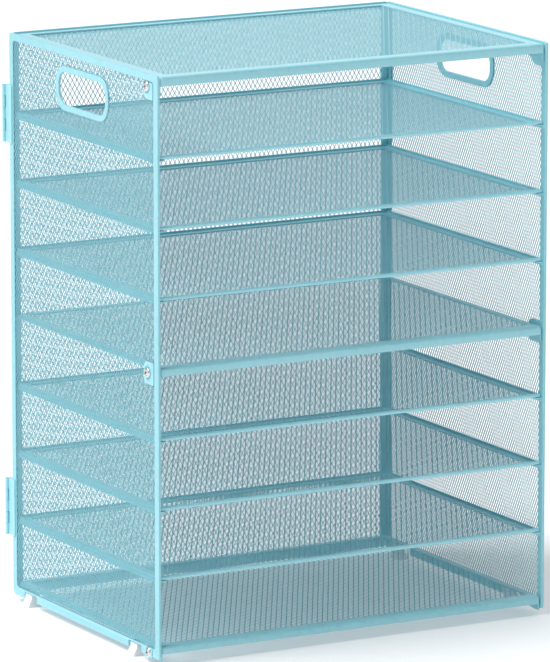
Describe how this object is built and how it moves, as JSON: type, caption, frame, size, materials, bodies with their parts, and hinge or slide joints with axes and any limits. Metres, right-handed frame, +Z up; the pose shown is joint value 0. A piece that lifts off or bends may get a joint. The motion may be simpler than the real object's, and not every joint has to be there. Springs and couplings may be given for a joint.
{
  "type": "mesh document drawer unit",
  "caption": "Tall open-fronted desk unit of coated expanded-metal mesh: sliding letter-size shelves on runners between hinged side panels with hand holes.",
  "frame": {"origin": "middle of the bounding box on the plane the feet rest on", "axes": "+Z up, -Y out of the open front, +X to the right seen from the front"},
  "size_m": [0.336, 0.2454, 0.439],
  "materials": {
    "coated_sheet": "satin powder coat, pale turquoise",
    "coated_mesh": "satin powder coat on expanded sheet, pale turquoise",
    "coated_hinge": "satin powder coat, pale turquoise",
    "zinc_screw": "bright nickel",
    "steel_pin": "bright steel",
    "white_plastic": "matt white moulded plastic"
  },
  "bodies": {
    "cabinet": {"back_frame": "coated_sheet", "back_mesh": "coated_mesh", "top_frame": "coated_sheet", "top_mesh": "coated_mesh", "middle_frame": "coated_sheet", "middle_mesh": "coated_mesh", "bottom_frame": "coated_sheet", "bottom_mesh": "coated_mesh", "frame_nuts": "coated_sheet", "hinge_pins": "steel_pin", "left_upper_hinge_back_leaf": "coated_hinge", "left_lower_hinge_back_leaf": "coated_hinge", "right_upper_hinge_back_leaf": "coated_hinge", "right_lower_hinge_back_leaf": "coated_hinge", "front_left_foot": "white_plastic", "front_right_foot": "white_plastic", "rear_left_foot": "white_plastic", "rear_right_foot": "white_plastic"},
    "left_side": {"left_side_frame": "coated_sheet", "left_side_mesh": "coated_mesh", "left_handle_edging": "coated_sheet", "left_top_gusset": "coated_sheet", "left_middle_tab": "coated_sheet", "left_shelf_runners": "coated_sheet", "left_side_screws": "zinc_screw", "left_upper_hinge_side_leaf": "coated_hinge", "left_lower_hinge_side_leaf": "coated_hinge"},
    "right_side": {"right_side_frame": "coated_sheet", "right_side_mesh": "coated_mesh", "right_handle_edging": "coated_sheet", "right_top_gusset": "coated_sheet", "right_middle_tab": "coated_sheet", "right_shelf_runners": "coated_sheet", "right_side_screws": "zinc_screw", "right_upper_hinge_side_leaf": "coated_hinge", "right_lower_hinge_side_leaf": "coated_hinge"},
    "shelf_1": {"shelf_1_frame": "coated_sheet", "shelf_1_mesh": "coated_mesh"},
    "shelf_2": {"shelf_2_frame": "coated_sheet", "shelf_2_mesh": "coated_mesh"},
    "shelf_3": {"shelf_3_frame": "coated_sheet", "shelf_3_mesh": "coated_mesh"},
    "shelf_4": {"shelf_4_frame": "coated_sheet", "shelf_4_mesh": "coated_mesh"},
    "shelf_5": {"shelf_5_frame": "coated_sheet", "shelf_5_mesh": "coated_mesh"},
    "shelf_6": {"shelf_6_frame": "coated_sheet", "shelf_6_mesh": "coated_mesh"}
  },
  "joints": [
    {"name": "left_side_hinge", "type": "hinge", "parent": "cabinet", "child": "left_side", "pos_m": [-0.1665, 0.1212, 0.222], "axis": [0, 0, -1], "range_deg": [0, 180]},
    {"name": "right_side_hinge", "type": "hinge", "parent": "cabinet", "child": "right_side", "pos_m": [0.1665, 0.1212, 0.222], "axis": [0, 0, 1], "range_deg": [0, 180]},
    {"name": "shelf_1_slide", "type": "slide", "parent": "cabinet", "child": "shelf_1", "axis": [0, -1, 0], "range_m": [0, 0.2]},
    {"name": "shelf_2_slide", "type": "slide", "parent": "cabinet", "child": "shelf_2", "axis": [0, -1, 0], "range_m": [0, 0.2]},
    {"name": "shelf_3_slide", "type": "slide", "parent": "cabinet", "child": "shelf_3", "axis": [0, -1, 0], "range_m": [0, 0.2]},
    {"name": "shelf_4_slide", "type": "slide", "parent": "cabinet", "child": "shelf_4", "axis": [0, -1, 0], "range_m": [0, 0.2]},
    {"name": "shelf_5_slide", "type": "slide", "parent": "cabinet", "child": "shelf_5", "axis": [0, -1, 0], "range_m": [0, 0.2]},
    {"name": "shelf_6_slide", "type": "slide", "parent": "cabinet", "child": "shelf_6", "axis": [0, -1, 0], "range_m": [0, 0.2]}
  ]
}
